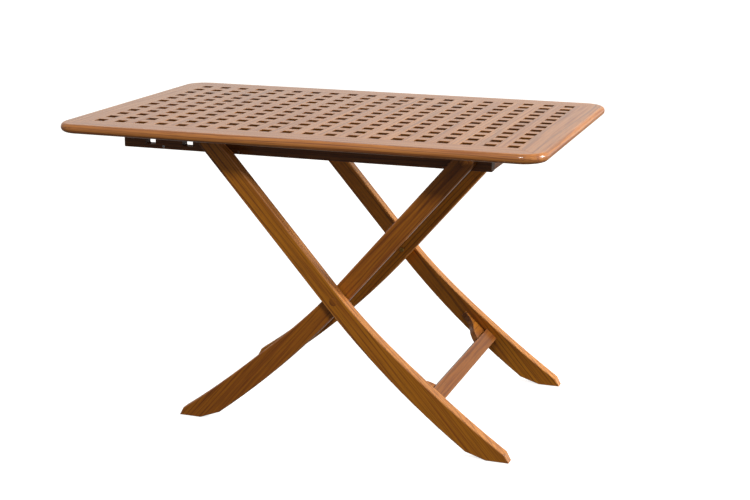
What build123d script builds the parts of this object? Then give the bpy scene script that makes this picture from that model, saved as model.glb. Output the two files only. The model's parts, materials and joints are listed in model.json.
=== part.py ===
from build123d import *
import os
from math import atan2, cos, degrees, hypot, radians, sin, tan

# A teak folding table with a grating top on two crossed leg frames.
# X runs along the tabletop, Y across it and Z up. The origin is on the floor,
# below the middle of the tabletop. All sizes are in millimetres.

# Tabletop
TOP_HEIGHT = 697.0
TOP_LENGTH = 1110.0
TOP_WIDTH = 715.0
TOP_THICKNESS = 21.0
CORNER_RADIUS = 55.0
EDGE_RADIUS = 10.4
UNDERSIDE = TOP_HEIGHT - TOP_THICKNESS
MID_TOP = TOP_HEIGHT - TOP_THICKNESS / 2

# Grating: slats on a square pitch, half-lapped where they cross
PITCH = 50.0
SLAT_WIDTH = 25.5
HOLE_COLUMNS = 20
HOLE_ROWS = 12
HOLE_SIZE = PITCH - SLAT_WIDTH
FIELD_LENGTH = (HOLE_COLUMNS - 1) * PITCH + HOLE_SIZE
FIELD_WIDTH = (HOLE_ROWS - 1) * PITCH + HOLE_SIZE
CROSS_SLAT_X = [(i - HOLE_COLUMNS / 2) * PITCH for i in range(1, HOLE_COLUMNS)]
LONG_SLAT_Y = [(i - HOLE_ROWS / 2) * PITCH for i in range(1, HOLE_ROWS)]
TENON_LENGTH = 12.0
TENON_WIDTH = 19.0
TENON_THICKNESS = 8.0
MORTISE_SPARE = 0.5
SPLINE_SIZE = (30.0, 40.0, 5.0)
SPLINE_FROM_FIELD = 34.0

# Rails below the third slat from each side, and the batten across their right ends
RAIL_THICKNESS = 25.0
RAIL_OUTER_Y = 215.0
RAIL_INNER_Y = RAIL_OUTER_Y - RAIL_THICKNESS
RAIL_BOTTOM = 627.5
RAIL_LEFT_X = -452.0
RAIL_RIGHT_X = 414.5
RAIL_ARRIS = 1.5
BATTEN_WIDTH = 25.0
TOOTH_TOP = 648.5
NOTCH_BOTTOM = 637.0
NOTCH_WIDTH = 26.0
NOTCH_CORNER = 2.0

# Leg frames. Both lean at the same angle and cross at the middle pivot.
LEG_ANGLE = 49.1
LEG_WIDTH = 42.6
LEG_THICKNESS = 27.0
LEG_ARRIS = 3.0
INNER_LEG_Y = RAIL_OUTER_Y + 1.0
OUTER_LEG_Y = INNER_LEG_Y + LEG_THICKNESS + 1.0
MID_PIVOT_X = 77.5
MID_PIVOT_Z = 324.1
TOP_PIVOT_Z = 651.0
BAR_DIAMETER = 20.0
BAR_CLEARANCE = 0.5
BAR_Z = TOOTH_TOP + BAR_DIAMETER / 2 + BAR_CLEARANCE
BAR_TENON_DIAMETER = 14.0
BAR_TENON_LENGTH = 20.0

# The curved lower half of a leg, in (distance out from the middle pivot, height)
CURVE_MIDDLE = (186.7, 177.3)
CURVE_END_ANGLE = 34.5
OUTER_FOOT = {"heel": (305.6, 14.6), "corner": (352.8, 0.0), "tip": (404.5, 0.0), "back": (394.5, 19.0)}
INNER_FOOT = {"heel": (296.0, 18.6), "corner": (344.3, 0.0), "tip": (398.1, 0.0), "back": (388.1, 19.0)}
TOE_RADIUS = 6.0

# Leg tops
CROWN_RADIUS = 15.5
CROWN_END = 20.0
CROWN_CORNER = 9.0
FOLDED_ANGLE = 7.0

# Stretchers and their knees, placed from the middle pivot like the legs
STRETCHER_WIDTH = 34.6
STRETCHER_THICKNESS = 26.0
STRETCHER_OUT = 221.8
STRETCHER_Z = 111.6
STRETCHER_ANGLE = 42.8
STRETCHER_ARRIS = 2.0
STRETCHER_TENON = (24.0, 14.0, 15.0)
KNEE_REACH = 68.0
KNEE_THICKNESS = 15.0
KNEE_SETBACK = 9.0
KNEE_TIP = 6.0
KNEE_HOLLOW = ((15.5, 42.0), (34.0, 28.0))

# Fasteners
PIVOT_DIAMETER = 8.0
RUNNING_CLEARANCE = 0.05
WASHER_DIAMETER = 24.0
WASHER_THICKNESS = 0.9
HEAD_DIAMETER = 16.0
HEAD_THICKNESS = 5.5
HEAD_RECESS = 18.0
PLUG_THICKNESS = 6.0
PLUG_CLEARANCE = 0.5
PLUG_CHAMFER = 0.6
SOCKET_SIZE = 5.0
SOCKET_DEPTH = 3.0
CAP_NUT_DIAMETER = 12.0
CAP_NUT_THICKNESS = 4.0
CAP_NUT_BORE = 2.5
HEX_NUT_ACROSS = 13.0
HEX_NUT_THICKNESS = 6.5
BOLT_END = 1.5
SEAT_GAP = 0.1
WOOD_SCREW = {"diameter": 4.5, "head": 8.5, "head_depth": 3.5, "length": 42.0}
FACE_SCREW = {"diameter": 3.0, "head": 6.0, "head_depth": 2.0, "length": 16.0}
SCREW_POINT = 4.0
SCREW_SLOT = (0.9, 1.2)
SCREW_BITE = 15.0
SCREW_RECESS_DIAMETER = 10.5
SCREW_RECESS_DEPTH = UNDERSIDE + SCREW_BITE - WOOD_SCREW["length"] - RAIL_BOTTOM
RAIL_SCREW_X = (-175.0, -25.0, 125.0, 275.0)
BATTEN_SCREW_Y = (-125.0, -25.0, 25.0, 125.0)
FACE_SCREW_X = (-353.0, -167.0)
FACE_SCREW_Z = 633.5

# Places worked out from the sizes above
LEAN = radians(LEG_ANGLE)
HALF_LEG = LEG_WIDTH / 2
TOP_PIVOT_REACH = (TOP_PIVOT_Z - MID_PIVOT_Z) / sin(LEAN)
TOP_PIVOT_X = MID_PIVOT_X + TOP_PIVOT_REACH * cos(LEAN)
BAR_REACH = (BAR_Z - MID_PIVOT_Z) / sin(LEAN)
BAR_X = MID_PIVOT_X - BAR_REACH * cos(LEAN)
NOTCH_X = (BAR_X, -292.5, -385.8)
BATTEN_X = RAIL_RIGHT_X - BATTEN_WIDTH / 2
OUTER_FACE_Y = OUTER_LEG_Y + LEG_THICKNESS
INNER_FACE_Y = INNER_LEG_Y + LEG_THICKNESS
MID_SEAT_Y = OUTER_FACE_Y - PLUG_THICKNESS - HEAD_THICKNESS
TOP_RECESS_DEPTH = PLUG_THICKNESS + PLUG_CLEARANCE + HEAD_THICKNESS + SEAT_GAP
TOP_SEAT_Y = INNER_FACE_Y - TOP_RECESS_DEPTH + SEAT_GAP


def save(piece, name):
    """Label a finished piece and write its STEP file."""
    piece.part.label = name
    export_step(piece.part, f"parts/{name}.step")


def save_mirrored(piece, name):
    """Write the back twin of a piece that stands at the front."""
    with BuildPart() as twin:
        mirror(piece.part, about=Plane.XZ)
    save(twin, name)


# ---------------------------------------------------------------- tabletop


def border_ring():
    """The whole rim with its bullnose edge, before it is cut at the mitres."""
    with BuildPart() as ring:
        with BuildSketch(Plane.XY.offset(UNDERSIDE)):
            RectangleRounded(TOP_LENGTH, TOP_WIDTH, CORNER_RADIUS)
        extrude(amount=TOP_THICKNESS)
        rims = ring.edges().group_by(Axis.Z)
        fillet(rims[0] + rims[-1], EDGE_RADIUS)
        with BuildSketch(Plane.XY.offset(UNDERSIDE)):
            Rectangle(FIELD_LENGTH, FIELD_WIDTH)
        extrude(amount=TOP_THICKNESS, mode=Mode.SUBTRACT)
    return ring.part


def spline_places():
    """One place at each mitre, turned along the joint."""
    mitre_x = (TOP_LENGTH - FIELD_LENGTH) / 2
    mitre_y = (TOP_WIDTH - FIELD_WIDTH) / 2
    length = hypot(mitre_x, mitre_y)
    places = []
    for side_x in (-1, 1):
        for side_y in (-1, 1):
            x = side_x * (FIELD_LENGTH / 2 + SPLINE_FROM_FIELD * mitre_x / length)
            y = side_y * (FIELD_WIDTH / 2 + SPLINE_FROM_FIELD * mitre_y / length)
            turn = degrees(atan2(side_y * mitre_y, side_x * mitre_x)) - 90
            places.append(Location((x, y, MID_TOP), (0, 0, turn)))
    return places


def mortise_places(name):
    """Where the slat tenons enter one border, and the mortise's size there."""
    depth = TENON_LENGTH + MORTISE_SPARE
    if name in ("front", "back"):
        y = (FIELD_WIDTH + depth) / 2 * (1 if name == "back" else -1)
        size = (TENON_WIDTH, depth, TENON_THICKNESS)
        return [Location((x, y, MID_TOP)) for x in CROSS_SLAT_X], size
    x = (FIELD_LENGTH + depth) / 2 * (1 if name == "right" else -1)
    size = (depth, TENON_WIDTH, TENON_THICKNESS)
    return [Location((x, y, MID_TOP)) for y in LONG_SLAT_Y], size


def build_border(name, ring):
    """One mitred side of the rim, mortised for the slats."""
    out_x, out_y = TOP_LENGTH / 2, TOP_WIDTH / 2
    in_x, in_y = FIELD_LENGTH / 2, FIELD_WIDTH / 2
    outlines = {
        "front": [(-out_x, -out_y), (out_x, -out_y), (in_x, -in_y), (-in_x, -in_y)],
        "right": [(out_x, -out_y), (out_x, out_y), (in_x, in_y), (in_x, -in_y)],
        "back": [(out_x, out_y), (-out_x, out_y), (-in_x, in_y), (in_x, in_y)],
        "left": [(-out_x, out_y), (-out_x, -out_y), (-in_x, -in_y), (-in_x, in_y)],
    }
    places, size = mortise_places(name)
    with BuildPart() as border:
        add(ring)
        with BuildSketch(Plane.XY.offset(UNDERSIDE)):
            with BuildLine():
                Polyline(*outlines[name], close=True)
            make_face()
        extrude(amount=TOP_THICKNESS, mode=Mode.INTERSECT)
        with Locations(*places):
            Box(*size, mode=Mode.SUBTRACT)
        with Locations(*spline_places()):
            Box(*SPLINE_SIZE, mode=Mode.SUBTRACT)
    save(border, f"{name}_border")


def build_slat(name, length, crossings, lap_z, plane, screws=()):
    """One slat along the plane's x, with a tenon at each end and a lap at each crossing."""
    with BuildPart(plane) as slat:
        Box(length, SLAT_WIDTH, TOP_THICKNESS)
        Box(length + 2 * TENON_LENGTH, TENON_WIDTH, TENON_THICKNESS)
        with Locations(*[(along, 0, lap_z) for along in crossings]):
            Box(SLAT_WIDTH, SLAT_WIDTH, TOP_THICKNESS / 2, mode=Mode.SUBTRACT)
        if screws:
            pilot_z = (SCREW_BITE - TOP_THICKNESS) / 2
            with Locations(*[(along, 0, pilot_z) for along in screws]):
                Cylinder(WOOD_SCREW["diameter"] / 2, SCREW_BITE, mode=Mode.SUBTRACT)
    save(slat, name)


def build_grating():
    """Long slats keep their lower half at a crossing, and cross slats their upper half."""
    lap = TOP_THICKNESS / 4
    for number, y in enumerate(LONG_SLAT_Y, 1):
        plane = Plane((0, y, MID_TOP))
        screws = RAIL_SCREW_X if abs(y) == 4 * PITCH else ()
        build_slat(f"long_slat_{number:02d}", FIELD_LENGTH, CROSS_SLAT_X, lap, plane, screws)
    for number, x in enumerate(CROSS_SLAT_X, 1):
        plane = Plane((x, 0, MID_TOP), x_dir=(0, 1, 0), z_dir=(0, 0, 1))
        screws = BATTEN_SCREW_Y if x == 8 * PITCH else ()
        build_slat(f"cross_slat_{number:02d}", FIELD_WIDTH, LONG_SLAT_Y, -lap, plane, screws)


def build_splines():
    with BuildPart() as splines:
        with Locations(*spline_places()):
            Box(*SPLINE_SIZE)
    save(splines, "corner_splines")


# ---------------------------------------------------------------- rails and batten


def screw_body(diameter, head, head_depth, length):
    """A countersunk wood screw with its head's face at the origin, pointing down."""
    with BuildPart() as screw:
        with BuildSketch(Plane.XZ):
            with BuildLine():
                Polyline(
                    (0, 0),
                    (head / 2, 0),
                    (diameter / 2, -head_depth),
                    (diameter / 2, SCREW_POINT - length),
                    (0, -length),
                    close=True,
                )
            make_face()
        revolve(axis=Axis.Z)
    return screw.part


def slotted_screw(size):
    """The same screw with a cross slot in its head."""
    width, depth = SCREW_SLOT
    with BuildPart() as screw:
        add(screw_body(**size))
        with Locations((0, 0, -depth / 2)):
            Box(size["head"] * 0.6, width, depth, mode=Mode.SUBTRACT)
            Box(width, size["head"] * 0.6, depth, mode=Mode.SUBTRACT)
    return screw.part


def rising_places(points):
    """Places of the wood screws that are driven up through a rail or the batten."""
    return [Location((x, y, RAIL_BOTTOM + SCREW_RECESS_DEPTH), (180, 0, 0)) for x, y in points]


def face_places(side):
    """Places of the small screws in a rail's outer face: side is -1 at the front, 1 at the back."""
    return [Location((x, side * RAIL_OUTER_Y, FACE_SCREW_Z), (-side * 90, 0, 0)) for x in FACE_SCREW_X]


def cut_screw_holes(places, size, depth):
    """Straight holes of that depth with a countersink for each screw's head."""
    for place in places:
        with Locations(place):
            Cylinder(
                size["diameter"] / 2,
                depth,
                align=(Align.CENTER, Align.CENTER, Align.MAX),
                mode=Mode.SUBTRACT,
            )
            Cone(
                size["diameter"] / 2,
                size["head"] / 2,
                size["head_depth"],
                align=(Align.CENTER, Align.CENTER, Align.MAX),
                mode=Mode.SUBTRACT,
            )


def cut_rising_holes(points):
    """Holes up through a rail or the batten, recessed from below."""
    with Locations(*[(x, y, RAIL_BOTTOM) for x, y in points]):
        Cylinder(
            SCREW_RECESS_DIAMETER / 2,
            SCREW_RECESS_DEPTH,
            align=(Align.CENTER, Align.CENTER, Align.MIN),
            mode=Mode.SUBTRACT,
        )
    depth = UNDERSIDE - RAIL_BOTTOM - SCREW_RECESS_DEPTH
    cut_screw_holes(rising_places(points), WOOD_SCREW, depth)


def build_rails():
    """A rail with the crossbar's slot along its top edge and three notches below the slot."""
    slot_end = NOTCH_X[0] + NOTCH_WIDTH / 2
    with BuildPart() as rail:
        with BuildSketch(Plane.XZ.offset(RAIL_INNER_Y)):
            with BuildLine():
                Polyline(
                    (RAIL_LEFT_X, RAIL_BOTTOM),
                    (RAIL_RIGHT_X, RAIL_BOTTOM),
                    (RAIL_RIGHT_X, UNDERSIDE),
                    (slot_end, UNDERSIDE),
                    (slot_end, TOOTH_TOP),
                    (RAIL_LEFT_X, TOOTH_TOP),
                    close=True,
                )
            make_face()
        extrude(amount=RAIL_THICKNESS)
        chamfer(rail.edges().filter_by(Axis.X).group_by(Axis.Z)[0], RAIL_ARRIS)
        with BuildSketch(Plane.XZ.offset(RAIL_INNER_Y)):
            with Locations(*[(x, NOTCH_BOTTOM) for x in NOTCH_X]):
                Rectangle(NOTCH_WIDTH, TOOTH_TOP - NOTCH_BOTTOM, align=(Align.CENTER, Align.MIN))
        extrude(amount=RAIL_THICKNESS, mode=Mode.SUBTRACT)
        across = rail.edges().filter_by(Axis.Y)
        corners = across.filter_by_position(Axis.Z, NOTCH_BOTTOM - 0.1, NOTCH_BOTTOM + 0.1)
        fillet(corners, NOTCH_CORNER)
        cut_across(TOP_PIVOT_X, TOP_PIVOT_Z, -RAIL_OUTER_Y, RAIL_THICKNESS, PIVOT_DIAMETER / 2)
        cut_rising_holes([(x, -4 * PITCH) for x in RAIL_SCREW_X])
        cut_screw_holes(face_places(-1), FACE_SCREW, FACE_SCREW["length"])
    save(rail, "front_rail")
    save_mirrored(rail, "back_rail")


def build_batten():
    with BuildPart() as batten:
        with Locations((BATTEN_X, 0, RAIL_BOTTOM)):
            Box(
                BATTEN_WIDTH,
                2 * RAIL_INNER_Y,
                UNDERSIDE - RAIL_BOTTOM,
                align=(Align.CENTER, Align.CENTER, Align.MIN),
            )
        chamfer(batten.edges().filter_by(Axis.Y).group_by(Axis.Z)[0], RAIL_ARRIS)
        cut_rising_holes([(8 * PITCH, y) for y in BATTEN_SCREW_Y])
    save(batten, "right_batten")


def build_screws():
    rail_points = [(x, y) for y in (-4 * PITCH, 4 * PITCH) for x in RAIL_SCREW_X]
    batten_points = [(8 * PITCH, y) for y in BATTEN_SCREW_Y]
    for name, size, places in (
        ("rail_screws", WOOD_SCREW, rising_places(rail_points)),
        ("batten_screws", WOOD_SCREW, rising_places(batten_points)),
        ("rail_face_screws", FACE_SCREW, face_places(-1) + face_places(1)),
    ):
        with BuildPart() as screws:
            with Locations(*places):
                add(slotted_screw(size))
        save(screws, name)


# ---------------------------------------------------------------- legs


def leg_point(side, along, across):
    """A point of a leg from its middle pivot: along towards the top, across towards the outside."""
    out = -along * cos(LEAN) + across * sin(LEAN)
    return (MID_PIVOT_X + side * out, MID_PIVOT_Z + along * sin(LEAN) + across * cos(LEAN))


def foot_point(side, point):
    return (MID_PIVOT_X + side * point[0], point[1])


def draw_lower_half(side, foot):
    """The curved half, from the inner side of the middle pivot round the foot to its outer side."""
    inner_start = leg_point(side, 0, -HALF_LEG)
    outer_start = leg_point(side, 0, HALF_LEG)
    fall = (side * cos(LEAN), -sin(LEAN))
    end_fall = (side * cos(radians(CURVE_END_ANGLE)), -sin(radians(CURVE_END_ANGLE)))
    heel, corner, tip, back = (foot_point(side, foot[key]) for key in ("heel", "corner", "tip", "back"))
    TangentArc(inner_start, heel, tangent=fall)
    Polyline(heel, corner, tip, back)
    Spline(outer_start, foot_point(side, CURVE_MIDDLE), back, tangents=[fall, end_fall])


def draw_round_top(side):
    """The inner frame's leg top, a half round about the top pivot."""
    inner = leg_point(side, TOP_PIVOT_REACH, -HALF_LEG)
    outer = leg_point(side, TOP_PIVOT_REACH, HALF_LEG)
    Line(leg_point(side, 0, -HALF_LEG), inner)
    ThreePointArc(inner, leg_point(side, TOP_PIVOT_REACH + HALF_LEG, 0), outer)
    Line(outer, leg_point(side, 0, HALF_LEG))


def draw_crown_top(side):
    """The outer frame's leg top. It is level over the crossbar, rounded about it, and eased
    back to the full width, so that it passes below the tabletop at every angle."""
    level_across = (CROWN_RADIUS - CROWN_END * sin(LEAN)) / cos(LEAN)
    ease_along = CROWN_RADIUS * sin(radians(FOLDED_ANGLE))
    ease_across = CROWN_RADIUS * cos(radians(FOLDED_ANGLE))
    ease_length = (HALF_LEG - ease_across) / tan(radians(FOLDED_ANGLE))
    round_middle = (LEAN + radians(FOLDED_ANGLE)) / 2
    inner = leg_point(side, BAR_REACH + CROWN_END - CROWN_CORNER, -HALF_LEG)
    corner_end = leg_point(side, BAR_REACH + CROWN_END, CROWN_CORNER - HALF_LEG)
    corner_middle = leg_point(
        side,
        BAR_REACH + CROWN_END - CROWN_CORNER * (1 - sin(radians(45))),
        CROWN_CORNER * (1 - sin(radians(45))) - HALF_LEG,
    )
    level_start = leg_point(side, BAR_REACH + CROWN_END, level_across)
    round_start = leg_point(side, BAR_REACH + CROWN_RADIUS * sin(LEAN), CROWN_RADIUS * cos(LEAN))
    round_point = leg_point(
        side, BAR_REACH + CROWN_RADIUS * sin(round_middle), CROWN_RADIUS * cos(round_middle)
    )
    ease_start = leg_point(side, BAR_REACH + ease_along, ease_across)
    ease_end = leg_point(side, BAR_REACH + ease_along - ease_length, HALF_LEG)
    Line(leg_point(side, 0, -HALF_LEG), inner)
    ThreePointArc(inner, corner_middle, corner_end)
    Polyline(corner_end, level_start, round_start)
    ThreePointArc(round_start, round_point, ease_start)
    Polyline(ease_start, ease_end, leg_point(side, 0, HALF_LEG))


def stretcher_plane(side, y):
    """The stretcher's section plane: its x runs down the leg and its z along Y."""
    turn = radians(STRETCHER_ANGLE)
    origin = (MID_PIVOT_X + side * STRETCHER_OUT, y, STRETCHER_Z)
    return Plane(origin, x_dir=(side * cos(turn), 0, -sin(turn)), z_dir=(0, 1, 0))


def cut_across(x, z, outer_y, depth, radius):
    """A round hole along Y into the front part, from outer_y inwards."""
    with Locations(Location((x, outer_y + depth / 2, z), (90, 0, 0))):
        Cylinder(radius, depth, mode=Mode.SUBTRACT)


def build_leg(name, side, inner_y, draw_top, foot, cut_holes):
    """One leg, with its arrises rounded and its holes cut, and its twin on the other side."""
    with BuildPart() as leg:
        with BuildSketch(Plane.XZ.offset(inner_y)) as outline:
            with BuildLine():
                draw_top(side)
                draw_lower_half(side, foot)
            make_face()
            toe = outline.vertices().sort_by_distance(foot_point(side, foot["back"]))[0]
            fillet(toe, TOE_RADIUS)
        extrude(amount=LEG_THICKNESS)
        sides = leg.faces().sort_by(Axis.Y)
        fillet(sides[0].edges() + sides[-1].edges(), LEG_ARRIS)
        cut_holes()
        width, thickness, length = STRETCHER_TENON
        with BuildSketch(stretcher_plane(side, -inner_y)):
            Rectangle(width, thickness)
        extrude(amount=-length, mode=Mode.SUBTRACT)
    save(leg, f"{name}_front_leg")
    save_mirrored(leg, f"{name}_back_leg")


def cut_outer_holes():
    radius = PIVOT_DIAMETER / 2
    cut_across(MID_PIVOT_X, MID_PIVOT_Z, -OUTER_FACE_Y, LEG_THICKNESS, radius)
    cut_across(MID_PIVOT_X, MID_PIVOT_Z, -OUTER_FACE_Y, OUTER_FACE_Y - MID_SEAT_Y, HEAD_RECESS / 2)
    socket_y = -OUTER_LEG_Y - BAR_TENON_LENGTH
    cut_across(BAR_X, BAR_Z, socket_y, BAR_TENON_LENGTH, BAR_TENON_DIAMETER / 2)


def cut_inner_holes():
    radius = PIVOT_DIAMETER / 2 + RUNNING_CLEARANCE
    cut_across(MID_PIVOT_X, MID_PIVOT_Z, -INNER_FACE_Y, LEG_THICKNESS, radius)
    cut_across(TOP_PIVOT_X, TOP_PIVOT_Z, -INNER_FACE_Y, LEG_THICKNESS, radius)
    cut_across(TOP_PIVOT_X, TOP_PIVOT_Z, -INNER_FACE_Y, TOP_RECESS_DEPTH, HEAD_RECESS / 2)


def build_crossbar():
    """The dowel between the outer legs that slides in the rails' slots."""
    with BuildPart() as bar:
        with Locations(Location((BAR_X, 0, BAR_Z), (90, 0, 0))):
            Cylinder(BAR_DIAMETER / 2, 2 * OUTER_LEG_Y)
            Cylinder(BAR_TENON_DIAMETER / 2, 2 * (OUTER_LEG_Y + BAR_TENON_LENGTH))
    save(bar, "top_crossbar")


def build_stretcher(name, side, inner_y):
    width, thickness, length = STRETCHER_TENON
    with BuildPart() as stretcher:
        with BuildSketch(stretcher_plane(side, -inner_y)):
            Rectangle(STRETCHER_WIDTH, STRETCHER_THICKNESS)
        extrude(amount=2 * inner_y)
        fillet(stretcher.edges().filter_by(Axis.Y), STRETCHER_ARRIS)
        with BuildSketch(stretcher_plane(side, -inner_y - length)):
            Rectangle(width, thickness)
        extrude(amount=2 * (inner_y + length))
    save(stretcher, f"{name}_stretcher")


def build_knees(name, side, inner_y):
    """Ogee brackets in the corners above a stretcher: hollow by the leg, full by the stretcher."""
    turn = radians(STRETCHER_ANGLE)
    lift = STRETCHER_THICKNESS / 2 - KNEE_SETBACK
    out = STRETCHER_OUT - STRETCHER_WIDTH / 2 * cos(turn) + lift * sin(turn)
    height = STRETCHER_Z + STRETCHER_WIDTH / 2 * sin(turn) + lift * cos(turn)
    corner = Plane(
        (MID_PIVOT_X + side * out, -side * inner_y, height),
        x_dir=(0, side, 0),
        z_dir=(side * sin(turn), 0, cos(turn)),
    )
    with BuildPart() as knee:
        with BuildSketch(corner):
            with BuildLine():
                hollow = ThreePointArc((KNEE_TIP, KNEE_REACH), *KNEE_HOLLOW)
                TangentArc(hollow @ 1, (KNEE_REACH, 0), tangent=hollow % 1)
                Polyline((KNEE_REACH, 0), (0, 0), (0, KNEE_REACH), (KNEE_TIP, KNEE_REACH))
            make_face()
        extrude(amount=-KNEE_THICKNESS)
    made, twin = ("front", "back") if side > 0 else ("back", "front")
    save(knee, f"{name}_{made}_knee")
    save_mirrored(knee, f"{name}_{twin}_knee")


# ---------------------------------------------------------------- pivot hardware


def both_sides(x, z, y):
    """Places on a pivot's axis at the front and the back, with the local Z outwards."""
    return [Location((x, -y, z), (90, 0, 0)), Location((x, y, z), (-90, 0, 0))]


def socket_bolt(reach):
    """A domed bolt with a hexagon socket. Its head's seat is at the origin."""
    with BuildPart() as bolt:
        Cylinder(HEAD_DIAMETER / 2, HEAD_THICKNESS, align=(Align.CENTER, Align.CENTER, Align.MIN))
        fillet(bolt.edges().group_by(Axis.Z)[-1], HEAD_THICKNESS / 2)
        with BuildSketch(Plane.XY.offset(HEAD_THICKNESS)):
            RegularPolygon(SOCKET_SIZE / 2, 6, major_radius=False)
        extrude(amount=-SOCKET_DEPTH, mode=Mode.SUBTRACT)
        Cylinder(PIVOT_DIAMETER / 2, reach, align=(Align.CENTER, Align.CENTER, Align.MAX))
    return bolt.part


def save_pair(name, piece, x, z, y):
    with BuildPart() as pair:
        with Locations(*both_sides(x, z, y)):
            add(piece)
    save(pair, name)


def washer():
    """A plain washer from the origin inwards."""
    with BuildPart() as disc:
        with BuildSketch():
            Circle(WASHER_DIAMETER / 2)
            Circle(PIVOT_DIAMETER / 2, mode=Mode.SUBTRACT)
        extrude(amount=-WASHER_THICKNESS)
    return disc.part


def cap_nut():
    """A low domed nut, closed on its inner side, from the origin inwards."""
    with BuildPart() as nut:
        Cylinder(CAP_NUT_DIAMETER / 2, CAP_NUT_THICKNESS, align=(Align.CENTER, Align.CENTER, Align.MAX))
        fillet(nut.edges().group_by(Axis.Z)[0], CAP_NUT_THICKNESS / 2)
        Cylinder(
            PIVOT_DIAMETER / 2,
            CAP_NUT_BORE,
            align=(Align.CENTER, Align.CENTER, Align.MAX),
            mode=Mode.SUBTRACT,
        )
    return nut.part


def hex_nut():
    with BuildPart() as nut:
        with BuildSketch():
            RegularPolygon(HEX_NUT_ACROSS / 2, 6, major_radius=False)
            Circle(PIVOT_DIAMETER / 2, mode=Mode.SUBTRACT)
        extrude(amount=-HEX_NUT_THICKNESS)
    return nut.part


def plug():
    """The wooden plug over a bolt head, with its face at the origin."""
    with BuildPart() as disc:
        Cylinder(HEAD_RECESS / 2, PLUG_THICKNESS, align=(Align.CENTER, Align.CENTER, Align.MAX))
        chamfer(disc.edges().group_by(Axis.Z)[-1], PLUG_CHAMFER)
    return disc.part


def build_mid_pivots():
    nut_y = INNER_LEG_Y - SEAT_GAP
    reach = MID_SEAT_Y - nut_y + CAP_NUT_BORE
    save_pair("mid_pivot_bolts", socket_bolt(reach), MID_PIVOT_X, MID_PIVOT_Z, MID_SEAT_Y)
    save_pair("mid_pivot_plugs", plug(), MID_PIVOT_X, MID_PIVOT_Z, OUTER_FACE_Y)
    save_pair("mid_pivot_washers", washer(), MID_PIVOT_X, MID_PIVOT_Z, OUTER_LEG_Y)
    save_pair("mid_pivot_nuts", cap_nut(), MID_PIVOT_X, MID_PIVOT_Z, nut_y)


def build_top_pivots():
    reach = TOP_SEAT_Y - RAIL_INNER_Y + HEX_NUT_THICKNESS + BOLT_END
    washer_y = RAIL_OUTER_Y + WASHER_THICKNESS
    save_pair("top_pivot_bolts", socket_bolt(reach), TOP_PIVOT_X, TOP_PIVOT_Z, TOP_SEAT_Y)
    save_pair("top_pivot_plugs", plug(), TOP_PIVOT_X, TOP_PIVOT_Z, INNER_FACE_Y)
    save_pair("top_pivot_washers", washer(), TOP_PIVOT_X, TOP_PIVOT_Z, washer_y)
    save_pair("top_pivot_nuts", hex_nut(), TOP_PIVOT_X, TOP_PIVOT_Z, RAIL_INNER_Y)


os.makedirs("parts", exist_ok=True)
rim = border_ring()
for border_name in ("front", "right", "back", "left"):
    build_border(border_name, rim)
build_grating()
build_splines()
build_rails()
build_batten()
build_screws()
build_leg("outer", 1, OUTER_LEG_Y, draw_crown_top, OUTER_FOOT, cut_outer_holes)
build_leg("inner", -1, INNER_LEG_Y, draw_round_top, INNER_FOOT, cut_inner_holes)
build_crossbar()
build_stretcher("outer", 1, OUTER_LEG_Y)
build_stretcher("inner", -1, INNER_LEG_Y)
build_knees("outer", 1, OUTER_LEG_Y)
build_knees("inner", -1, INNER_LEG_Y)
build_mid_pivots()
build_top_pivots()
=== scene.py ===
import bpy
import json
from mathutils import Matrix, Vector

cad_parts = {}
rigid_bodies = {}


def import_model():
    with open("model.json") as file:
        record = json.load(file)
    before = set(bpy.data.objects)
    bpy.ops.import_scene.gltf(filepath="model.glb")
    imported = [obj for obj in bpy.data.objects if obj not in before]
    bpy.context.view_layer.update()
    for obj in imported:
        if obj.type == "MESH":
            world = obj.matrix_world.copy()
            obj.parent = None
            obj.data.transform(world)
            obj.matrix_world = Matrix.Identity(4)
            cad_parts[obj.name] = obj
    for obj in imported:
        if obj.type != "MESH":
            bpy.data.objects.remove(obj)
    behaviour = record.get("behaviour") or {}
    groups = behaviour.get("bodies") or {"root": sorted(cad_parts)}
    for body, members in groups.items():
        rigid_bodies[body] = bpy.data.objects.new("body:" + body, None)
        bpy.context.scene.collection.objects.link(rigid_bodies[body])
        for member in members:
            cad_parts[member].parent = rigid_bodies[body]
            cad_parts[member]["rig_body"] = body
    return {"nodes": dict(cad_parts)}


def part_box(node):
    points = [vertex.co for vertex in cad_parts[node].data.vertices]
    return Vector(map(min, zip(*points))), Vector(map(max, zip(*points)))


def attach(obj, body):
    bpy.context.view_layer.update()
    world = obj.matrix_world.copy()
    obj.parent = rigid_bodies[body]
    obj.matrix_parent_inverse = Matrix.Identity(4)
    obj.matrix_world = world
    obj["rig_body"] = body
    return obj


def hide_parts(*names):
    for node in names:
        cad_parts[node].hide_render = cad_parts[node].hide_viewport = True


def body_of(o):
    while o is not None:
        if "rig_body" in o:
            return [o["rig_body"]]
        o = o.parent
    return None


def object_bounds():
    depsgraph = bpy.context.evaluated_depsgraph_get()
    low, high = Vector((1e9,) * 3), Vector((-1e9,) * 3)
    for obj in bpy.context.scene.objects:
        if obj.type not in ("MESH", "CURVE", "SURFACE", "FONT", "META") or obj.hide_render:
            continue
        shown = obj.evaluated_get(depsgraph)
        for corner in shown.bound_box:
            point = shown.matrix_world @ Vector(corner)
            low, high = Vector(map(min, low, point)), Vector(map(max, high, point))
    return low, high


bl_info = {
    "name": "Grating-top folding table",
    "version": (1, 0, 0),
    "blender": (4, 5, 0),
    "location": "View3D > Sidebar > Table",
    "description": "Gives a packed teak folding table its eased boards, grain, metal and studio",
    "category": "Object",
}

import json
import math
import random

import bmesh
import bpy
from mathutils import Euler, Matrix, Vector

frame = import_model()

CAD_LOW, CAD_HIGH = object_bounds()

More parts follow.
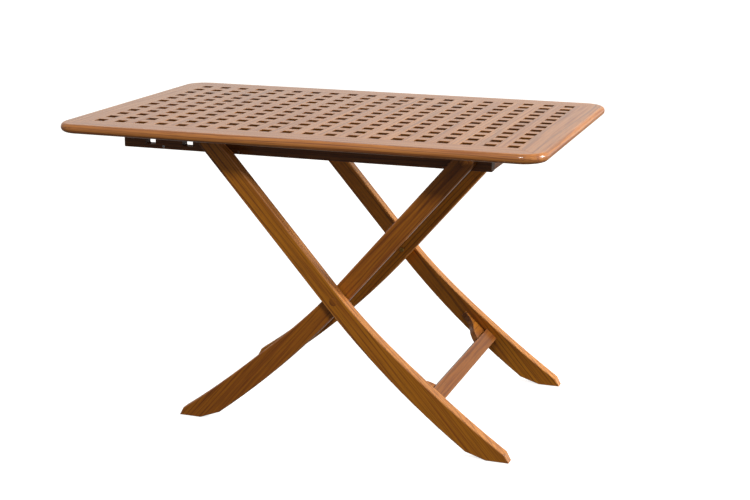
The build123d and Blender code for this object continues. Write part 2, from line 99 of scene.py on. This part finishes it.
# Tolerances, in metres and radians: what counts as one point, as flat, as a sharp arris, as
# the narrow face of an arris, and as a leg's upper face by its normal's height.
MERGE_DISTANCE = 1e-6
FLAT_ANGLE = math.radians(0.4)
SHARP_ANGLE = math.radians(35)
NARROW_FACE = 0.0016
UPPER_FACE = 0.3

# The grating's field of holes in metres, with 3 mm to spare all round.
FIELD_LOW, FIELD_HIGH = Vector((-0.49, -0.29, 0.0)), Vector((0.49, 0.29, 0.0))

# How each board lies: the turn that brings its grain onto the X axis.
LEG_LEAN = math.radians(49.1)
ALONG_X = (0.0, 0.0, 0.0)
ALONG_Y = (0.0, 0.0, -math.pi / 2)
UP_RIGHT = (0.0, LEG_LEAN, 0.0)
UP_LEFT = (0.0, -LEG_LEAN, 0.0)

BORDERS = {
    "front_border": ALONG_X,
    "back_border": ALONG_X,
    "left_border": ALONG_Y,
    "right_border": ALONG_Y,
}
LONG_SLATS = [name for name in sorted(frame["nodes"]) if name.startswith("long_slat")]
CROSS_SLATS = [name for name in sorted(frame["nodes"]) if name.startswith("cross_slat")]
RAILS = {
    "front_rail": ALONG_X,
    "back_rail": ALONG_X,
    "right_batten": ALONG_Y,
}
LEGS = {
    "inner_front_leg": UP_RIGHT,
    "inner_back_leg": UP_RIGHT,
    "outer_front_leg": UP_LEFT,
    "outer_back_leg": UP_LEFT,
}
STRETCHERS = ("inner_stretcher", "outer_stretcher", "top_crossbar")
KNEES = ("inner_front_knee", "inner_back_knee", "outer_front_knee", "outer_back_knee")
# How pale a board is, where it isn't left to chance: the board's own tone, with painted shade
# making the rails darker and painted light making the back legs paler.
# 0.5 is the middling tone, and values past 0 and 1 are darker and paler still.
BOARD_TONES_WITH_PAINTED_LIGHT = {
    "outer_front_leg": 0.8,
    "outer_back_leg": 1.5,
    "inner_front_leg": 0.2,
    "inner_back_leg": 1.5,
    "outer_stretcher": -0.4,
    "front_rail": -0.9,
    "back_rail": -0.6,
    "right_batten": 0.3,
}
CHANCE_TONES = (0.3, 0.7)

# The mark painted on a face: arrises paled by wear and legs' upper faces paled by a painted
# highlight, as planed, and painted shade on the grating's hole walls.
RUBBED_AND_LIT, PLANED, PAINTED_HOLE_SHADE = 1.0, 0.4, -1.0

# Where a board lay in its log, in metres: how far along, to the side, and out from the pith.
ALONG_LOG = (-3, 3)
BESIDE_PITH = (-0.09, 0.09)
FROM_PITH = (0.03, 0.12)

# The teak. Stretches are how much longer than wide a mark is, as a scale along the grain,
# and tones are factors of the colour.
RING_STRETCH = 0.09
STREAK_STRETCH = 0.025
PORE_DEPTH = 0.42
END_GRAIN_TONE = 0.62
# Painted shade on the grating's hole walls, and the paler tone and saturation of arrises paled by
# wear and of legs' upper faces lit by a painted highlight.
PAINTED_HOLE_SHADE_TONE, RUBBED_AND_LIT_TONE = 0.3, 1.15
RUBBED_AND_LIT_SATURATION = 0.93
DARK_HUE, PALE_HUE = 0.495, 0.504
SMOOTH_WOOD, ROUGH_WOOD = 0.46, 0.6
GRAIN_RELIEF = 0.0002

# The metals' dulled patches and polish.
STEEL_STAIN, STEEL_ROUGHNESS = "#7c7f84", 0.24
BRASS_STAIN, BRASS_ROUGHNESS = "#5f4320", 0.34
TOOL_MARK_RELIEF = 0.00005

# Each softbox: its place and its sides in metres, and its power in watts.
SOFTBOXES = {
    "main_softbox": ((3.2, 0.8, 1.8), (1.0, 1.0), 118.0),
    "front_softbox": ((0.69, -2.56, 2.97), (0.5, 0.5), 60.0),
}
# The walls' glow by direction: an axis, where on it the glow changes from the first
# strength to the second, and those two strengths.
WALL_GLOW = {
    "over": ("Z", 0.1, 0.7, 0.28, 0.45),
    "below": ("Z", -0.25, 0.0, 0.3, 1.0),
    "low": ("Z", -0.05, 0.2, 1.2, 0.0),
    "behind": ("Y", 0.1, 0.85, 0.2, 1.0),
    "left": ("X", -0.1, 0.35, 1.0, 0.45),
    "right": ("X", 0.3, 0.9, 0.0, 0.6),
}
FLOOR_GLOW = 0.8
SENSOR_WIDTH = 36.0

STEEL_NODES = (
    "rail_screws",
    "batten_screws",
    "rail_face_screws",
    "top_pivot_bolts",
    "top_pivot_washers",
    "top_pivot_nuts",
    "mid_pivot_bolts",
    "mid_pivot_washers",
)
BRASS_NODES = ("mid_pivot_nuts",)


def linear(code):
    """An sRGB hex colour, such as "#a0c4ff", as linear red, green, blue and alpha."""
    parts = [int(code[i:i + 2], 16) / 255 for i in (1, 3, 5)]
    curved = [((part + 0.055) / 1.055) ** 2.4 for part in parts]
    return [part / 12.92 if part <= 0.04045 else bent for part, bent in zip(parts, curved)] + [1.0]


def add_node(tree, kind, inputs=None, **settings):
    """Adds a shader node. A socket among its inputs is linked, and any other value is set."""
    made = tree.nodes.new("ShaderNode" + kind)
    for name, value in settings.items():
        setattr(made, name, value)
    for key, value in (inputs or {}).items():
        if isinstance(value, bpy.types.NodeSocket):
            tree.links.new(value, made.inputs[key])
        else:
            made.inputs[key].default_value = value
    return made


def new_material(name):
    """An empty material, its tree and its output node."""
    material = bpy.data.materials.new(name)
    material.use_nodes = True
    material.node_tree.nodes.clear()
    return material, material.node_tree, add_node(material.node_tree, "OutputMaterial")


# ---------------------------------------------------------------- materials


def oiled_teak(name, turn):
    """Oiled teak, planed, sanded and sealed: long dark growth lines on golden brown, fine
    open pores along the grain, darker end grain, and a thin coat of oil that gives small
    bright highlights and a broad satin sheen at low angles.
    """
    made = bpy.data.materials.get(name)
    if made is not None:
        return made
    timber = bpy.context.scene.table_timber
    material, tree, output = new_material(name)
    coordinates = add_node(tree, "TexCoord")
    turned = add_node(
        tree, "Mapping", {"Vector": coordinates.outputs["Object"], "Rotation": turn}
    )
    log = add_node(tree, "Attribute", attribute_name="log")
    tone = add_node(tree, "Attribute", attribute_name="tone")
    wear_and_painted_light = add_node(tree, "Attribute", attribute_name="wear_and_painted_light")
    place = add_node(
        tree, "VectorMath", {0: turned.outputs[0], 1: log.outputs["Vector"]}, operation="ADD"
    )

    # Growth rings round a pith that lies outside the board, wandering slowly along it.
    ring_place = add_node(
        tree, "Mapping", {"Vector": place.outputs[0], "Scale": (RING_STRETCH, 1.0, 1.0)}
    )
    rings = add_node(
        tree,
        "TexWave",
        {
            "Vector": ring_place.outputs[0],
            "Scale": 0.1 * math.pi / timber.ring_width,
            "Distortion": 8.0,
            "Detail": 3.0,
            "Detail Scale": 0.4,
            "Detail Roughness": 0.55,
        },
        wave_type="RINGS",
        rings_direction="X",
        wave_profile="SIN",
    )
    late_wood = add_node(
        tree,
        "MapRange",
        {"Value": rings.outputs["Fac"], "From Min": 0.84, "From Max": 1.0, "To Max": 0.9},
        interpolation_type="SMOOTHSTEP",
    )

    # Streaks some 6 mm wide and 250 mm long, and pores 1.3 mm wide and 40 mm long.
    # Real teak pores are 0.3 mm wide and are drawn coarser here so that they show.
    streak_place = add_node(
        tree, "Mapping", {"Vector": place.outputs[0], "Scale": (STREAK_STRETCH, 1.0, 1.0)}
    )
    streaks = add_node(
        tree, "TexNoise", {"Vector": streak_place.outputs[0], "Scale": 160.0, "Detail": 4.0}
    )
    streak = add_node(
        tree,
        "MapRange",
        {"Value": streaks.outputs[0], "From Min": 0.4, "From Max": 0.75},
        interpolation_type="SMOOTHSTEP",
    )
    pores = add_node(
        tree, "TexNoise", {"Vector": streak_place.outputs[0], "Scale": 760.0, "Detail": 3.0}
    )
    pore = add_node(
        tree,
        "MapRange",
        {"Value": pores.outputs[0], "From Min": 0.52, "From Max": 0.72},
        interpolation_type="SMOOTHSTEP",
    )
    # Clouds of oil and heartwood some 80 mm across.
    clouds = add_node(
        tree, "TexNoise", {"Vector": ring_place.outputs[0], "Scale": 12.0, "Detail": 2.0}
    )

    body = add_node(
        tree,
        "Mix",
        {0: streak.outputs[0], 6: linear(timber.pale), 7: linear(timber.warm)},
        data_type="RGBA",
    )
    ring_depth = add_node(
        tree, "Math", {0: late_wood.outputs[0], 1: clouds.outputs[0]}, operation="MULTIPLY"
    )
    ringed = add_node(
        tree,
        "Mix",
        {0: ring_depth.outputs[0], 6: body.outputs[2], 7: linear(timber.late)},
        data_type="RGBA",
    )
    pore_depth = add_node(
        tree, "Math", {0: pore.outputs[0], 1: PORE_DEPTH}, operation="MULTIPLY"
    )
    pored = add_node(
        tree,
        "Mix",
        {0: pore_depth.outputs[0], 6: ringed.outputs[2], 7: linear(timber.pore)},
        data_type="RGBA",
    )

    # Cut ends drink the oil and go darker, the grating's hole walls get painted shade, and arrises
    # paled by wear and legs' upper faces with a painted highlight are a little paler.
    normal = add_node(
        tree,
        "Mapping",
        {"Vector": coordinates.outputs["Normal"], "Rotation": turn},
        vector_type="VECTOR",
    )
    along = add_node(tree, "SeparateXYZ", {0: normal.outputs[0]})
    facing = add_node(tree, "Math", {0: along.outputs[0]}, operation="ABSOLUTE")
    end_grain = add_node(
        tree,
        "MapRange",
        {
            "Value": facing.outputs[0],
            "From Min": 0.75,
            "From Max": 0.97,
            "To Min": 1.0,
            "To Max": END_GRAIN_TONE,
        },
        interpolation_type="SMOOTHSTEP",
    )
    # Tone from each face's mark: painted shade on the hole walls, a painted highlight on legs'
    # upper faces, and arrises paled by wear.
    wear_and_light_tone = add_node(
        tree,
        "MapRange",
        {
            "Value": wear_and_painted_light.outputs["Fac"],
            "From Min": PAINTED_HOLE_SHADE,
            "From Max": RUBBED_AND_LIT,
            "To Min": PAINTED_HOLE_SHADE_TONE,
            "To Max": RUBBED_AND_LIT_TONE,
        },
    )
    board_tone = add_node(
        tree,
        "MapRange",
        {
            "Value": tone.outputs["Fac"],
            "To Min": 1.0 - timber.tone_spread,
            "To Max": 1.0 + timber.tone_spread,
        },
        clamp=False,
    )
    shade = add_node(
        tree, "Math", {0: end_grain.outputs[0], 1: wear_and_light_tone.outputs[0]}, operation="MULTIPLY"
    )
    value = add_node(
        tree, "Math", {0: shade.outputs[0], 1: board_tone.outputs[0]}, operation="MULTIPLY"
    )
    hue = add_node(
        tree,
        "MapRange",
        {"Value": tone.outputs["Fac"], "To Min": DARK_HUE, "To Max": PALE_HUE},
    )
    # Less saturated on arrises paled by wear and on legs' upper faces with a painted highlight.
    paled_by_wear_and_light = add_node(
        tree,
        "MapRange",
        {
            "Value": wear_and_painted_light.outputs["Fac"],
            "From Min": PLANED,
            "From Max": RUBBED_AND_LIT,
            "To Min": 1.0,
            "To Max": RUBBED_AND_LIT_SATURATION,
        },
    )
    colour = add_node(
        tree,
        "HueSaturation",
        {
            "Hue": hue.outputs[0],
            "Saturation": paled_by_wear_and_light.outputs[0],
            "Value": value.outputs[0],
            "Color": pored.outputs[2],
        },
    )

    roughness = add_node(
        tree,
        "MapRange",
        {
            "Value": streaks.outputs[0],
            "From Min": 0.3,
            "From Max": 0.7,
            "To Min": SMOOTH_WOOD,
            "To Max": ROUGH_WOOD,
        },
    )
    relief = add_node(
        tree,
        "Math",
        {0: late_wood.outputs[0], 1: 0.5, 2: pore.outputs[0]},
        operation="MULTIPLY_ADD",
    )
    bump = add_node(
        tree,
        "Bump",
        {"Strength": 0.35, "Distance": GRAIN_RELIEF, "Height": relief.outputs[0]},
        invert=True,
    )
    surface = add_node(
        tree,
        "BsdfPrincipled",
        {
            "Base Color": colour.outputs[0],
            "Roughness": roughness.outputs[0],
            "IOR": 1.5,
            "Specular IOR Level": 0.25,
            "Coat Weight": 0.6,
            "Coat Roughness": 0.16,
            "Normal": bump.outputs[0],
        },
    )
    tree.links.new(surface.outputs[0], output.inputs["Surface"])
    return material


def metal(name, colour, stain, roughness):
    """Turned metal: a soft gleam with fine tool marks and patches of dulled surface."""
    material, tree, output = new_material(name)
    coordinates = add_node(tree, "TexCoord")
    # Patches of tarnish some 4 mm across.
    patches = add_node(
        tree, "TexNoise", {"Vector": coordinates.outputs["Object"], "Scale": 260.0, "Detail": 4.0}
    )
    dulled = add_node(
        tree,
        "MapRange",
        {"Value": patches.outputs[0], "From Min": 0.45, "From Max": 0.7, "To Max": 0.6},
    )
    mixed = add_node(
        tree,
        "Mix",
        {0: dulled.outputs[0], 6: linear(colour), 7: linear(stain)},
        data_type="RGBA",
    )
    rough = add_node(
        tree,
        "MapRange",
        {
            "Value": patches.outputs[0],
            "From Min": 0.3,
            "From Max": 0.7,
            "To Min": roughness,
            "To Max": roughness + 0.2,
        },
    )
    # Turning marks 0.2 mm apart across the face of each head.
    marks = add_node(
        tree,
        "TexNoise",
        {"Vector": coordinates.outputs["Object"], "Scale": 5000.0, "Detail": 1.0},
    )
    bump = add_node(
        tree, "Bump", {"Strength": 0.1, "Distance": TOOL_MARK_RELIEF, "Height": marks.outputs[0]}
    )
    surface = add_node(
        tree,
        "BsdfPrincipled",
        {
            "Base Color": mixed.outputs[2],
            "Metallic": 1.0,
            "Roughness": rough.outputs[0],
            "Normal": bump.outputs[0],
        },
    )
    tree.links.new(surface.outputs[0], output.inputs["Surface"])
    return material


# ------------------------------------------------------------------- boards


def board_material(turn):
    """The teak whose grain runs the way that this turn says."""
    names = {
        ALONG_X: "oiled_teak_along",
        ALONG_Y: "oiled_teak_across",
        UP_RIGHT: "oiled_teak_inner_leg",
        UP_LEFT: "oiled_teak_outer_leg",
    }
    return oiled_teak(names[turn], turn)


def is_sharp(edge):
    """True where two faces of a board meet at an arris."""
    return len(edge.link_faces) == 2 and edge.calc_face_angle(0.0) > SHARP_ANGLE


def face_width(face):
    """The mean width of a long face: its area over half its outline."""
    return 2 * face.calc_area() / max(face.calc_perimeter(), MERGE_DISTANCE)


def face_wear_and_painted_light(node, face):
    """Paled by wear on an arris, a painted highlight on a leg's upper face, painted shade on a
    grating's hole walls, or planed.
    """
    # A leg's upper faces get a painted highlight.
    painted_lit_face = node.endswith("leg") and face.normal.z > UPPER_FACE
    if painted_lit_face or face_width(face) < NARROW_FACE:
        return RUBBED_AND_LIT
    in_grating = node.endswith("border") or "slat" in node
    low, high = FIELD_LOW, FIELD_HIGH
    middle = face.calc_center_median()
    inside = low.x < middle.x < high.x and low.y < middle.y < high.y
    # The grating's hole walls get painted shade.
    if in_grating and inside and abs(face.normal.z) < 0.5:
        return PAINTED_HOLE_SHADE
    return PLANED


def ease_edges(work, ease):
    """Rounds every sharp arris of a board by this much."""
    arrises = [edge for edge in work.edges if is_sharp(edge)]
    bmesh.ops.bevel(
        work,
        geom=arrises,
        offset=ease,
        offset_type="OFFSET",
        segments=2,
        profile=0.5,
        affect="EDGES",
        clamp_overlap=True,
        material=-1,
    )


def merged_work(node):
    """A CAD node's mesh as a bmesh, its loose triangles joined into whole faces."""
    work = bmesh.new()
    work.from_mesh(frame["nodes"][node].data)
    bmesh.ops.remove_doubles(work, verts=work.verts, dist=MERGE_DISTANCE)
    bmesh.ops.dissolve_limit(
        work,
        angle_limit=FLAT_ANGLE,
        verts=work.verts,
        edges=work.edges,
        use_dissolve_boundaries=False,
    )
    return work


def mark_board(work, node, turn):
    """Says where the board was cut from its log, how pale it is, and marks each face with wear, a
    painted highlight or painted shade.
    """
    dice = random.Random(node)
    low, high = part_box(node)
    middle = Euler(turn).to_matrix() @ ((low + high) / 2)
    cut = Vector(
        (dice.uniform(*ALONG_LOG), dice.uniform(*BESIDE_PITH), dice.uniform(*FROM_PITH))
    )
    log = work.verts.layers.float_vector.new("log")
    tone = work.verts.layers.float.new("tone")
    wear_and_painted_light = work.faces.layers.float.new("wear_and_painted_light")
    # The listed tones paint shade on the rails and light on the back legs.
    shade = BOARD_TONES_WITH_PAINTED_LIGHT.get(node, dice.uniform(*CHANCE_TONES))
    for vertex in work.verts:
        vertex[log] = cut - middle
        vertex[tone] = shade
    for face in work.faces:
        face.smooth = True
        face[wear_and_painted_light] = face_wear_and_painted_light(node, face)


def make_board(node, turn, ease):
    """A board from its CAD node: eased arrises, grain of its own and smooth shading."""
    work = merged_work(node)
    if ease > 0:
        ease_edges(work, ease)
    mark_board(work, node, turn)
    name = "teak_" + node
    mesh = bpy.data.meshes.new(name)
    work.to_mesh(mesh)
    work.free()
    mesh.set_sharp_from_angle(angle=SHARP_ANGLE)
    mesh.materials.append(board_material(turn))
    board = bpy.data.objects.new(name, mesh)
    bpy.context.scene.collection.objects.link(board)
    shading = board.modifiers.new("face_shading", "WEIGHTED_NORMAL")
    shading.keep_sharp = True
    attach(board, body_of(frame["nodes"][node])[0])
    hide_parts(node)
    return board


def dress(node, material):
    """Gives a CAD node's own object a better material."""
    slots = frame["nodes"][node].data.materials
    slots.clear()
    slots.append(material)


# --------------------------------------------------------------- properties


class TableTimber(bpy.types.PropertyGroup):
    """The teak and how its edges are eased."""

    pale: bpy.props.StringProperty(
        name="Pale wood", description="sRGB hex colour of the early wood", default="#b46d14"
    )
    warm: bpy.props.StringProperty(
        name="Warm wood", description="sRGB hex colour of the darker streaks", default="#914e0c"
    )
    late: bpy.props.StringProperty(
        name="Growth lines", description="sRGB hex colour of the late wood", default="#522406"
    )
    pore: bpy.props.StringProperty(
        name="Pores", description="sRGB hex colour inside the open pores", default="#3a1a06"
    )
    ring_width: bpy.props.FloatProperty(
        name="Ring width",
        description="Distance from one growth line to the next",
        default=0.008,
        min=0.001,
        subtype="DISTANCE",
        unit="LENGTH",
    )
    tone_spread: bpy.props.FloatProperty(
        name="Tone spread",
        description="How much lighter or darker one board is than another",
        default=0.2,
        min=0.0,
        max=0.5,
        subtype="FACTOR",
    )
    slat_ease: bpy.props.FloatProperty(
        name="Grating arris",
        description="Rounding of the edges of the slats and of the border's inside",
        default=0.0005,
        min=0.0,
        max=0.002,
        precision=4,
        subtype="DISTANCE",
        unit="LENGTH",
    )
    frame_ease: bpy.props.FloatProperty(
        name="Frame arris",
        description="Rounding of the edges of the rails, the batten and the knees",
        default=0.001,
        min=0.0,
        max=0.003,
        precision=4,
        subtype="DISTANCE",
        unit="LENGTH",
    )


class TableMetal(bpy.types.PropertyGroup):
    """The fastenings' metals."""

    steel: bpy.props.StringProperty(
        name="Stainless steel",
        description="sRGB hex colour of the screws and bolts",
        default="#b9bcc0",
    )
    brass: bpy.props.StringProperty(
        name="Brass", description="sRGB hex colour of the cap nuts", default="#b08d4c"
    )


class TableStudio(bpy.types.PropertyGroup):
    """The floor, the lights and the camera."""

    floor: bpy.props.StringProperty(
        name="Floor", description="sRGB hex colour of the floor", default="#c8c6c2"
    )
    walls: bpy.props.StringProperty(
        name="Walls", description="sRGB hex colour of the studio's walls", default="#fffbf6"
    )
    floor_radius: bpy.props.FloatProperty(
        name="Floor radius",
        description="How far the floor reaches",
        default=60.0,
        subtype="DISTANCE",
        unit="LENGTH",
    )
    eye: bpy.props.FloatVectorProperty(
        name="Camera place",
        description="Where the camera stands",
        default=(1.1598, -3.1169, 1.239),
        size=3,
        subtype="TRANSLATION",
        unit="LENGTH",
    )
    heading: bpy.props.FloatProperty(
        name="Heading",
        description="The camera's angle round the table from its front",
        default=math.radians(19.0875),
        subtype="ANGLE",
    )
    tilt: bpy.props.FloatProperty(
        name="Tilt",
        description="How far the camera looks down",
        default=math.radians(14.656),
        subtype="ANGLE",
    )
    roll: bpy.props.FloatProperty(
        name="Roll",
        description="The camera's lean",
        default=math.radians(0.20281),
        subtype="ANGLE",
    )
    focal_length: bpy.props.FloatProperty(
        name="Focal length",
        description="On a 36 mm sensor",
        default=69.47,
        min=10.0,
        unit="CAMERA",
    )


# ---------------------------------------------------------------- operators


class TABLE_OT_borders(bpy.types.Operator):
    """Make the four mitred border boards with eased inner edges"""

    bl_idname = "table.borders"
    bl_label = "Borders"

    def execute(self, context):
        ease = context.scene.table_timber.slat_ease
        for node, turn in BORDERS.items():
            make_board(node, turn, ease)
        dress("corner_splines", board_material(ALONG_X))
        return {"FINISHED"}


class TABLE_OT_slats(bpy.types.Operator):
    """Make the long and the cross slats of the grating"""

    bl_idname = "table.slats"
    bl_label = "Grating slats"

    def execute(self, context):
        ease = context.scene.table_timber.slat_ease
        for node in LONG_SLATS:
            make_board(node, ALONG_X, ease)
        for node in CROSS_SLATS:
            make_board(node, ALONG_Y, ease)
        return {"FINISHED"}


class TABLE_OT_rails(bpy.types.Operator):
    """Make the two notched rails and the batten below the top"""

    bl_idname = "table.rails"
    bl_label = "Rails and batten"

    def execute(self, context):
        ease = context.scene.table_timber.frame_ease
        for node, turn in RAILS.items():
            make_board(node, turn, ease)
        return {"FINISHED"}


class TABLE_OT_legs(bpy.types.Operator):
    """Make the four curved legs with straight grain that runs out at the feet"""

    bl_idname = "table.legs"
    bl_label = "Legs"

    def execute(self, context):
        for node, turn in LEGS.items():
            make_board(node, turn, 0.0)
        return {"FINISHED"}


class TABLE_OT_stretchers(bpy.types.Operator):
    """Make the stretchers, the crossbar and the shaped knees at the stretchers' ends"""

    bl_idname = "table.stretchers"
    bl_label = "Stretchers and knees"

    def execute(self, context):
        ease = context.scene.table_timber.frame_ease
        for node in STRETCHERS:
            make_board(node, ALONG_Y, 0.0)
        for node in KNEES:
            make_board(node, ALONG_Y, ease)
        return {"FINISHED"}


class TABLE_OT_fastenings(bpy.types.Operator):
    """Finish the screws, pivot bolts, washers and nuts, and the wooden plugs over the bolts"""

    bl_idname = "table.fastenings"
    bl_label = "Fastenings"

    def execute(self, context):
        colours = context.scene.table_metal
        steel = metal("turned_stainless_steel", colours.steel, STEEL_STAIN, STEEL_ROUGHNESS)
        brass = metal("dulled_brass", colours.brass, BRASS_STAIN, BRASS_ROUGHNESS)
        for node in STEEL_NODES:
            dress(node, steel)
        for node in BRASS_NODES:
            dress(node, brass)
        make_board("mid_pivot_plugs", UP_LEFT, 0.0)
        make_board("top_pivot_plugs", UP_RIGHT, 0.0)
        return {"FINISHED"}


class TABLE_OT_studio(bpy.types.Operator):
    """Set out the pale floor, the soft lights and the camera"""

    bl_idname = "table.studio"
    bl_label = "Studio"

    def execute(self, context):
        studio = context.scene.table_studio
        make_floor(studio)
        make_sky(context.scene, studio)
        middle = (CAD_LOW + CAD_HIGH) / 2
        for name, (place, size, power) in SOFTBOXES.items():
            make_softbox(name, Vector(place), middle, size, power)
        make_camera(context.scene, studio)
        context.scene.view_settings.view_transform = "Standard"
        return {"FINISHED"}


def make_floor(studio):
    """A round pale floor, see-through from below, that throws no light back up."""
    work = bmesh.new()
    bmesh.ops.create_circle(work, cap_ends=True, segments=96, radius=studio.floor_radius)
    mesh = bpy.data.meshes.new("studio_floor")
    work.to_mesh(mesh)
    work.free()
    floor = bpy.data.objects.new("studio_floor", mesh)
    bpy.context.scene.collection.objects.link(floor)
    floor.visible_diffuse = False
    floor.visible_glossy = False
    material, tree, output = new_material("painted_studio_floor")
    coordinates = add_node(tree, "TexCoord")
    mottle = add_node(
        tree, "TexNoise", {"Vector": coordinates.outputs["Object"], "Scale": 3.0, "Detail": 5.0}
    )
    dull = add_node(
        tree, "MapRange", {"Value": mottle.outputs[0], "To Min": 0.7, "To Max": 0.9}
    )
    paint = add_node(
        tree,
        "BsdfPrincipled",
        {
            "Base Color": linear(studio.floor),
            "Roughness": dull.outputs[0],
            "Specular IOR Level": 0.2,
            "Emission Color": linear("#ffffff"),
            "Emission Strength": FLOOR_GLOW,
        },
    )
    clear = add_node(tree, "BsdfTransparent")
    side = add_node(tree, "NewGeometry")
    either = add_node(
        tree,
        "MixShader",
        {0: side.outputs["Backfacing"], 1: paint.outputs[0], 2: clear.outputs[0]},
    )
    tree.links.new(either.outputs[0], output.inputs["Surface"])
    mesh.materials.append(material)


def make_sky(scene, studio):
    """A white studio: bright behind the table and to its left, dim in front and below."""
    world = bpy.data.worlds.new("studio")
    scene.world = world
    world.use_nodes = True
    tree = world.node_tree
    tree.nodes.clear()
    coordinates = add_node(tree, "TexCoord")
    way = add_node(tree, "SeparateXYZ", {0: coordinates.outputs["Generated"]})
    part = {}
    for name, (axis, start, end, first, last) in WALL_GLOW.items():
        part[name] = add_node(
            tree,
            "MapRange",
            {
                "Value": way.outputs[axis],
                "From Min": start,
                "From Max": end,
                "To Min": first,
                "To Max": last,
            },
            interpolation_type="SMOOTHSTEP",
        ).outputs[0]
    sky = add_node(tree, "Math", {0: part["over"], 1: part["right"]}, operation="MAXIMUM")
    room = add_node(tree, "Math", {0: sky.outputs[0], 1: part["below"]}, operation="MULTIPLY")
    horizon = add_node(tree, "Math", {0: part["low"], 1: part["below"]}, operation="MULTIPLY")
    spread = add_node(tree, "Math", {0: part["left"], 1: horizon.outputs[0]}, operation="MAXIMUM")
    wall = add_node(tree, "Math", {0: part["behind"], 1: spread.outputs[0]}, operation="MULTIPLY")
    panel = add_node(tree, "Math", {0: wall.outputs[0], 1: part["below"]}, operation="MULTIPLY")
    strength = add_node(
        tree, "Math", {0: room.outputs[0], 1: panel.outputs[0]}, operation="MAXIMUM"
    )
    light = add_node(
        tree, "Background", {"Color": linear(studio.walls), "Strength": strength.outputs[0]}
    )
    output = add_node(tree, "OutputWorld")
    tree.links.new(light.outputs[0], output.inputs["Surface"])


def make_softbox(name, place, target, size, power):
    """A flat area light that looks at a point of the table."""
    light = bpy.data.lights.new(name, "AREA")
    light.shape = "RECTANGLE"
    light.size, light.size_y = size
    light.energy = power
    box = bpy.data.objects.new(name, light)
    box.location = place
    box.rotation_euler = (target - place).to_track_quat("-Z", "Y").to_euler()
    bpy.context.scene.collection.objects.link(box)


def make_camera(scene, studio):
    """The camera, placed by its heading, tilt and roll."""
    back = Vector(
        (
            math.sin(studio.heading) * math.cos(studio.tilt),
            -math.cos(studio.heading) * math.cos(studio.tilt),
            math.sin(studio.tilt),
        )
    )
    right = (-back).cross(Vector((0, 0, 1))).normalized()
    up = right.cross(-back)
    lean = Matrix.Rotation(studio.roll, 3, "Z")
    turn = Matrix((right, up, back)).transposed() @ lean
    data = bpy.data.cameras.new("studio_camera")
    data.lens = studio.focal_length
    data.sensor_width = SENSOR_WIDTH
    camera = bpy.data.objects.new("studio_camera", data)
    camera.matrix_world = Matrix.Translation(studio.eye) @ turn.to_4x4()
    scene.collection.objects.link(camera)
    scene.camera = camera


class TABLE_PT_panel(bpy.types.Panel):
    """Lists the table's pieces and finishes"""

    bl_idname = "TABLE_PT_panel"
    bl_label = "Folding table"
    bl_space_type = "VIEW_3D"
    bl_region_type = "UI"
    bl_category = "Table"

    def draw(self, context):
        scene = context.scene
        for group in (scene.table_timber, scene.table_metal, scene.table_studio):
            box = self.layout.box()
            for name in group.__annotations__:
                box.prop(group, name)
        for operator in OPERATORS:
            self.layout.operator(operator.bl_idname)


GROUPS = (TableTimber, TableMetal, TableStudio)
OPERATORS = (
    TABLE_OT_borders,
    TABLE_OT_slats,
    TABLE_OT_rails,
    TABLE_OT_legs,
    TABLE_OT_stretchers,
    TABLE_OT_fastenings,
    TABLE_OT_studio,
)


def register():
    for item in (*GROUPS, *OPERATORS, TABLE_PT_panel):
        bpy.utils.register_class(item)
    bpy.types.Scene.table_timber = bpy.props.PointerProperty(type=TableTimber)
    bpy.types.Scene.table_metal = bpy.props.PointerProperty(type=TableMetal)
    bpy.types.Scene.table_studio = bpy.props.PointerProperty(type=TableStudio)


def unregister():
    del bpy.types.Scene.table_studio
    del bpy.types.Scene.table_metal
    del bpy.types.Scene.table_timber
    for item in reversed((*GROUPS, *OPERATORS, TABLE_PT_panel)):
        bpy.utils.unregister_class(item)


def main():
    register()
    bpy.ops.table.borders()
    bpy.ops.table.slats()
    bpy.ops.table.rails()
    bpy.ops.table.legs()
    bpy.ops.table.stretchers()
    bpy.ops.table.fastenings()
    bpy.ops.table.studio()


if __name__ == "__main__":
    main()
